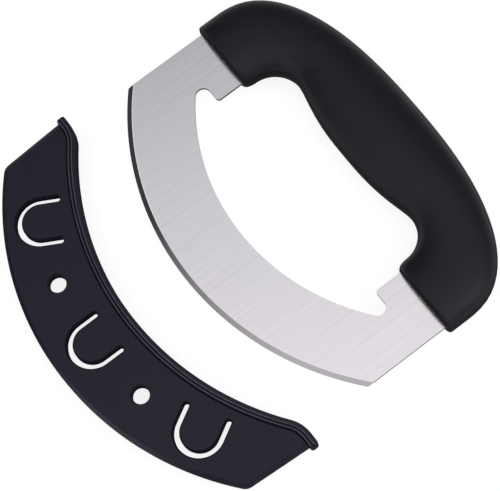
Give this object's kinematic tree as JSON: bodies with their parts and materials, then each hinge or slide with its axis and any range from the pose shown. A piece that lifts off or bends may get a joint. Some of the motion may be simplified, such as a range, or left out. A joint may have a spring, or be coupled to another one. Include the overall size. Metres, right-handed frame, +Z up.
{
  "type": "mezzaluna knife with blade cover",
  "caption": "Bow-shaped chopping knife with a closed two-legged hand grip, and a slip-on crescent cover pulled off its curved edge.",
  "frame": {"origin": "middle of the bounding box, on the surface that the knife lies on", "axes": "+X along the chord of the edge, +Y from the edge to the grip, +Z up, square to the flat of the blade"},
  "size_m": [0.1816, 0.1864, 0.024],
  "materials": {
    "blade_steel": "brushed across the blade, with a finely ground bevel",
    "core_plastic": "plain moulded",
    "grip_soft": "soft touch, very fine grain",
    "cover_plastic": "satin moulded"
  },
  "bodies": {
    "knife": {"blade": "blade_steel", "handle_core": "core_plastic", "handle_grip": "grip_soft"},
    "cover": {"blade_cover": "cover_plastic"}
  },
  "joints": [
    {"name": "cover_slide", "type": "slide", "parent": "knife", "child": "cover", "axis": [0, 1, 0], "range_m": [0, 0.062]}
  ]
}
